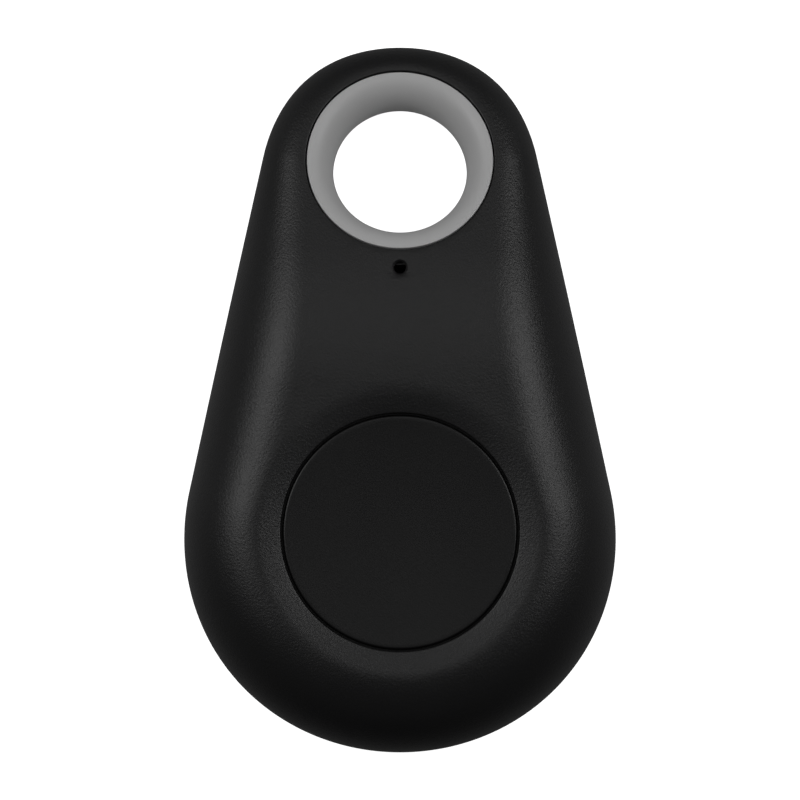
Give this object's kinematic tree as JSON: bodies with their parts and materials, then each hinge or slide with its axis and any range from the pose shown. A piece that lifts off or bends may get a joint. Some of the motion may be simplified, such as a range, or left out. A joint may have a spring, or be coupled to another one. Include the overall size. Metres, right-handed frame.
{
  "type": "bluetooth tracker tag",
  "caption": "Drop-shaped key finder tag: snap-together case, large round push button, tilted key-ring eyelet, coin cell and radio board inside.",
  "frame": {"origin": "middle of the flat back face's bounding rectangle, on the surface the tag lies on", "axes": "+Z out of the front face, +Y towards the key-ring end, +X to the right seen from the front"},
  "size_m": [0.0312, 0.051, 0.011],
  "materials": {
    "case": "moulded ABS, fine grain, near black",
    "button": "soft-touch elastomer coat, near black",
    "eyelet": "moulded, satin, light grey",
    "board": "glass-fibre board with green solder mask",
    "copper": "bright copper",
    "chip": "moulded epoxy, matte black",
    "can_steel": "nickel-plated steel",
    "lamp_body": "white moulded polymer",
    "lamp_lens": "clear resin",
    "capacitor": "fired, tan",
    "gilt": "gold-plated pads",
    "spring_steel": "spring steel, nickel plated",
    "plunger": "moulded polymer, dark grey",
    "magnet": "sintered magnet",
    "cell_steel": "stainless steel, satin",
    "gasket": "moulded polypropylene",
    "cathode": "pressed powder, near black",
    "paper": "non-woven separator",
    "lithium": "soft metal, dull"
  },
  "bodies": {
    "back": {"back_shell": "case"},
    "front": {"front_shell": "case", "eyelet_ring": "eyelet"},
    "button": {"button_cap": "button"},
    "board": {"circuit_board": "board", "antenna_trace": "copper", "bluetooth_chip": "chip", "crystal": "can_steel", "led_body": "lamp_body", "led_lens": "lamp_lens", "chip_capacitors": "capacitor", "chip_resistors": "chip", "matching_inductor": "capacitor", "driver_transistor": "chip", "flyback_diode": "chip", "test_pads": "gilt", "switch_base": "chip", "switch_dome": "spring_steel", "switch_cover": "can_steel", "buzzer_case": "chip", "buzzer_yoke": "spring_steel", "buzzer_magnet": "magnet", "buzzer_coil": "copper", "buzzer_diaphragm": "spring_steel", "battery_positive_clips": "spring_steel", "battery_negative_spring": "spring_steel"},
    "plunger": {"switch_plunger": "plunger"},
    "cell": {"cell_can": "cell_steel", "cell_gasket": "gasket", "cell_cap": "cell_steel", "cell_cathode": "cathode", "cell_separator": "paper", "cell_anode": "lithium"}
  },
  "joints": [
    {"name": "front_lift", "type": "slide", "parent": "back", "child": "front", "axis": [0, 0, 1], "range_m": [0, 0.036]},
    {"name": "board_lift", "type": "slide", "parent": "back", "child": "board", "axis": [0, 0, 1], "range_m": [0, 0.024]},
    {"name": "cell_lift", "type": "slide", "parent": "back", "child": "cell", "axis": [0, 0, 1], "range_m": [0, 0.012]},
    {"name": "button_press", "type": "slide", "parent": "front", "child": "button", "axis": [0, 0, -1], "range_m": [0, 0.0003], "stiffness_N_per_m": 1500, "springref_m": -0.0008},
    {"name": "plunger_press", "type": "slide", "parent": "board", "child": "plunger", "axis": [0, 0, -1], "range_m": [0, 0.0003], "deforming": ["switch_dome"]}
  ],
  "couplings": [
    {"joint": "board_lift", "follows": "front_lift", "ratio": 0.66667},
    {"joint": "cell_lift", "follows": "front_lift", "ratio": 0.33333},
    {"joint": "plunger_press", "follows": "button_press", "ratio": 1}
  ]
}
